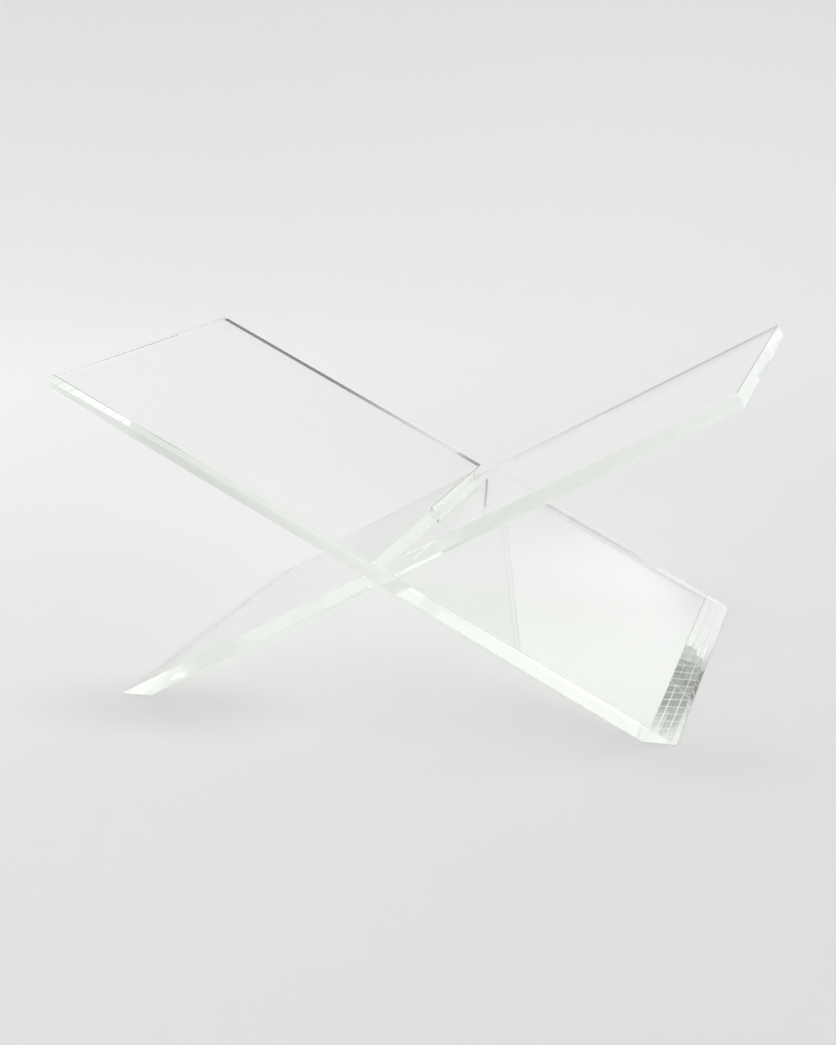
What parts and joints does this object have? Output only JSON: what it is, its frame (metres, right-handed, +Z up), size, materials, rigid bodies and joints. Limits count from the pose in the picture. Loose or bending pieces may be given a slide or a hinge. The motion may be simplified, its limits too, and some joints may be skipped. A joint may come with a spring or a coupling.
{
  "type": "bible stand",
  "caption": "Clear acrylic X-shaped stand: crossed panels slot into each other at half depth, stand on level-cut feet and cradle an open Bible or large book in the upper V.",
  "frame": {"origin": "centre of the footprint on the surface the stand rests on, straight below the crossing", "axes": "+Z up; +X across the open book, from the left wing to the right wing; +Y along the book's spine, away from the reader"},
  "size_m": [0.4454, 0.27, 0.2175],
  "materials": {
    "clear_acrylic": "polished"
  },
  "bodies": {
    "left_wing_panel": {"left_wing_panel": "clear_acrylic"},
    "right_wing_panel": {"right_wing_panel": "clear_acrylic"}
  },
  "joints": [
    {"name": "slot_slide", "type": "slide", "parent": "left_wing_panel", "child": "right_wing_panel", "axis": [0, 1, 0], "range_m": [0, 0.135]}
  ]
}
